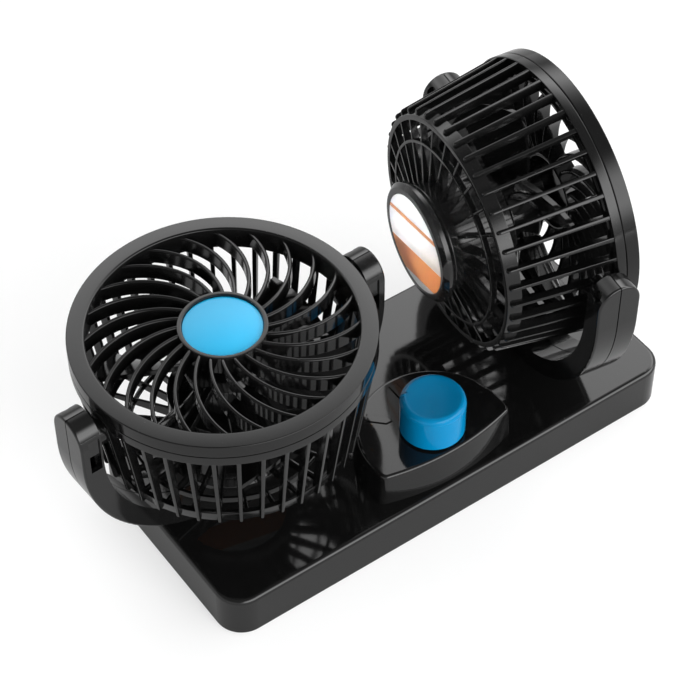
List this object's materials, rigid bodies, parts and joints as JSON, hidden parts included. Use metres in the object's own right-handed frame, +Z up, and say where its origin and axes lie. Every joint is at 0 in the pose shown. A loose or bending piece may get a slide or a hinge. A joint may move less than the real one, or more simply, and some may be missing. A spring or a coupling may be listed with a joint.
{
  "type": "car fan",
  "caption": "Twin-head car dashboard fan: two caged fans that swivel and tilt in yokes on a flat base with a rotary speed knob on a raised pod.",
  "frame": {"origin": "centre of the base's footprint, on the face of the adhesive pad that meets the dashboard", "axes": "+X along the base from the left fan to the right one, -Y towards the knob side, +Z up"},
  "size_m": [0.2424, 0.1358, 0.1454],
  "materials": {
    "black_gloss": "polished black moulded plastic",
    "black_matte": "fine-textured black moulded plastic",
    "knob_blue": "glossy mid-blue moulded plastic",
    "badge_blue": "satin sky-blue disc",
    "label_print": "printed label, white and orange bands",
    "pad_foam": "black foam adhesive pad",
    "grommet_rubber": "black rubber",
    "zinc_steel": "zinc plated",
    "motor_can": null
  },
  "bodies": {
    "base": {"base_top_shell": "black_gloss", "control_pod": "black_gloss", "pod_screws": "zinc_steel", "base_bottom_cover": "black_matte", "base_screws": "zinc_steel", "adhesive_pad": "pad_foam", "cable_grommet": "grommet_rubber", "switch_body": "black_matte", "switch_nut": "zinc_steel"},
    "knob": {"speed_knob": "knob_blue", "switch_spindle": "zinc_steel"},
    "left_yoke": {"left_yoke_front_half": "black_gloss", "left_yoke_rear_half": "black_gloss", "left_yoke_screws": "zinc_steel", "left_swivel_spindle": "black_matte", "left_swivel_retainer": "zinc_steel"},
    "left_head": {"left_front_grille": "black_gloss", "left_front_badge": "badge_blue", "left_rear_shell": "black_gloss", "left_motor": "motor_can", "left_motor_screws": "zinc_steel", "left_hub_cap": "black_gloss", "left_hub_label": "label_print", "left_pivot_pins": "black_matte", "left_tilt_washers": "black_matte"},
    "left_rotor": {"left_rotor": "black_matte", "left_motor_shaft": "zinc_steel"},
    "right_yoke": {"right_yoke_front_half": "black_gloss", "right_yoke_rear_half": "black_gloss", "right_yoke_screws": "zinc_steel", "right_swivel_spindle": "black_matte", "right_swivel_retainer": "zinc_steel"},
    "right_head": {"right_front_grille": "black_gloss", "right_front_badge": "badge_blue", "right_rear_shell": "black_gloss", "right_motor": "motor_can", "right_motor_screws": "zinc_steel", "right_hub_cap": "black_gloss", "right_hub_label": "label_print", "right_pivot_pins": "black_matte", "right_tilt_washers": "black_matte"},
    "right_rotor": {"right_rotor": "black_matte", "right_motor_shaft": "zinc_steel"}
  },
  "joints": [
    {"name": "knob_turn", "type": "hinge", "parent": "base", "child": "knob", "pos_m": [0, -0.0291, 0.045], "axis": [0, 0, -1], "range_deg": [0, 90]},
    {"name": "left_swivel", "type": "hinge", "parent": "base", "child": "left_yoke", "pos_m": [-0.0697, 0.0055, 0.0199], "axis": [0, 0, 1], "range_deg": [-175, 175]},
    {"name": "left_tilt", "type": "hinge", "parent": "left_yoke", "child": "left_head", "pos_m": [-0.0697, 0.0055, 0.08901], "axis": [-0.9992, -0.0401, 0], "range_deg": [-100, 100]},
    {"name": "left_rotor_spin", "type": "hinge", "parent": "left_head", "child": "left_rotor", "pos_m": [-0.0697, 0.0055, 0.08901], "axis": [0, 0, 1], "continuous": true},
    {"name": "right_swivel", "type": "hinge", "parent": "base", "child": "right_yoke", "pos_m": [0.0697, 0.0055, 0.0199], "axis": [0, 0, 1], "range_deg": [-175, 175]},
    {"name": "right_tilt", "type": "hinge", "parent": "right_yoke", "child": "right_head", "pos_m": [0.0697, 0.0055, 0.08901], "axis": [-0.1409, -0.99, 0], "range_deg": [-11.4, 188.6]},
    {"name": "right_rotor_spin", "type": "hinge", "parent": "right_head", "child": "right_rotor", "pos_m": [0.0697, 0.0055, 0.08901], "axis": [0.9897, -0.1409, 0.0244], "continuous": true}
  ]
}
